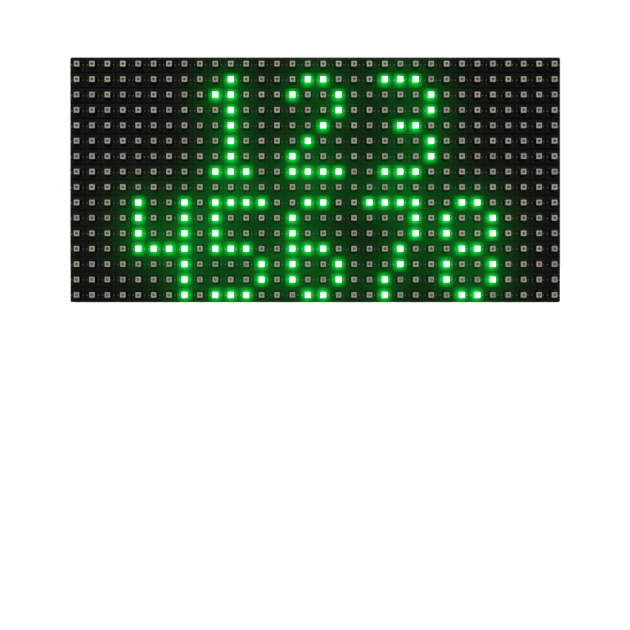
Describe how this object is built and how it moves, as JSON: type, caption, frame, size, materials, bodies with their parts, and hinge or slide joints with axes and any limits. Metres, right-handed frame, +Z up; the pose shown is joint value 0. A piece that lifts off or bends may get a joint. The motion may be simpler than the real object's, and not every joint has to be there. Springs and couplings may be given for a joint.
{
  "type": "led matrix display panel",
  "caption": "Rectangular LED matrix display module: black louvred mask with square lamps in front, circuit board, and a ribbed rear frame with windows, headers and fixing inserts.",
  "frame": {"origin": "middle of the panel's bottom edge, half way through its whole depth", "axes": "+X to the viewer's right as the lamps are looked at, +Y from the lamps towards the rear frame, +Z up"},
  "size_m": [0.32, 0.0176, 0.16],
  "materials": {
    "mask_plastic": "moulded polycarbonate, near black, fine matt texture",
    "lit_lamps": "clear resin cup over a glowing green die",
    "unlit_lamps": "beige moulded lamp housing round a clear resin cup",
    "board_laminate": "glass laminate under green solder resist",
    "frame_plastic": "moulded polycarbonate with glass fibre, charcoal, satin",
    "black_screws": "blackened self-tapping screws",
    "insert_brass": "turned brass bushes, tapped",
    "header_plastic": "black connector plastic",
    "plated_contacts": "tin-plated square contacts",
    "can_aluminium": "drawn aluminium, lightly brushed",
    "base_plastic": "black base moulding",
    "tinned_legs": "tinned copper alloy, bright",
    "white_ceramic": "white ceramic with tinned ends",
    "chip_resin": "black moulding resin",
    "label_film": "white self-adhesive film, blank"
  },
  "bodies": {
    "root": {"led_mask": "mask_plastic", "leds_lit": "lit_lamps", "leds_unlit": "unlit_lamps", "circuit_board": "board_laminate", "rear_frame": "frame_plastic", "frame_screws": "black_screws", "threaded_inserts": "insert_brass", "input_header_shroud": "header_plastic", "input_header_pins": "plated_contacts", "output_header_shroud": "header_plastic", "output_header_pins": "plated_contacts", "power_header_housing": "header_plastic", "power_header_contacts": "plated_contacts", "capacitor_1_can": "can_aluminium", "capacitor_1_base": "base_plastic", "capacitor_1_tabs": "tinned_legs", "capacitor_2_can": "can_aluminium", "capacitor_2_base": "base_plastic", "capacitor_2_tabs": "tinned_legs", "driver_chip_1": "chip_resin", "driver_chip_1_legs": "tinned_legs", "driver_chip_2": "chip_resin", "driver_chip_2_legs": "tinned_legs", "driver_chip_3": "chip_resin", "driver_chip_3_legs": "tinned_legs", "driver_chip_4": "chip_resin", "driver_chip_4_legs": "tinned_legs", "driver_chip_5": "chip_resin", "driver_chip_5_legs": "tinned_legs", "driver_chip_6": "chip_resin", "driver_chip_6_legs": "tinned_legs", "driver_chip_7": "chip_resin", "driver_chip_7_legs": "tinned_legs", "driver_chip_8": "chip_resin", "driver_chip_8_legs": "tinned_legs", "switch_chip_1": "chip_resin", "switch_chip_1_legs": "tinned_legs", "switch_chip_2": "chip_resin", "switch_chip_2_legs": "tinned_legs", "selector_chip": "chip_resin", "selector_chip_legs": "tinned_legs", "buffer_chip": "chip_resin", "buffer_chip_legs": "tinned_legs", "chip_resistors": "white_ceramic", "blank_label": "label_film"}
  },
  "joints": []
}
